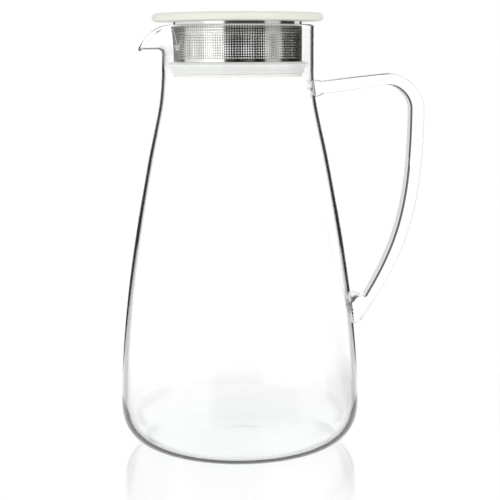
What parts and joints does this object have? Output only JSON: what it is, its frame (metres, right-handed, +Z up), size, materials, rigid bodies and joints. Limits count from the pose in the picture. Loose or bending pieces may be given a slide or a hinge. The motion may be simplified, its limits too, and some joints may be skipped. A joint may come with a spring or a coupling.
{
  "type": "glass pitcher",
  "caption": "Tall clear glass pitcher with a pulled pouring lip, a glass rod handle and a round lift-out lid with a perforated steel strainer and a soft gasket.",
  "frame": {"origin": "centre of the flat base, on the axis of the jug, where it stands on a table", "axes": "+Z up along the axis of the jug, -X towards the pouring lip, +X towards the handle"},
  "size_m": [0.1694, 0.1336, 0.2398],
  "materials": {
    "clear_glass": "clear, fire polished",
    "cream_plastic": "matte moulded",
    "polished_steel": "polished stainless sheet",
    "white_plastic": "matte moulded",
    "white_silicone": "translucent satin"
  },
  "bodies": {
    "jug": {"jug_body": "clear_glass", "handle_rod": "clear_glass", "upper_handle_weld": "clear_glass", "lower_handle_weld": "clear_glass"},
    "gasket": {"silicone_gasket": "white_silicone"},
    "lid": {"lid_cover": "cream_plastic", "lid_base_plate": "cream_plastic", "strainer_sleeve": "polished_steel", "gasket_carrier": "white_plastic"}
  },
  "joints": [
    {"name": "lid_lift", "type": "slide", "parent": "jug", "child": "gasket", "axis": [0, 0, 1], "range_m": [0, 0.06]},
    {"name": "lid_turn", "type": "hinge", "parent": "gasket", "child": "lid", "pos_m": [0, 0, 0.21], "axis": [0, 0, 1], "continuous": true}
  ]
}
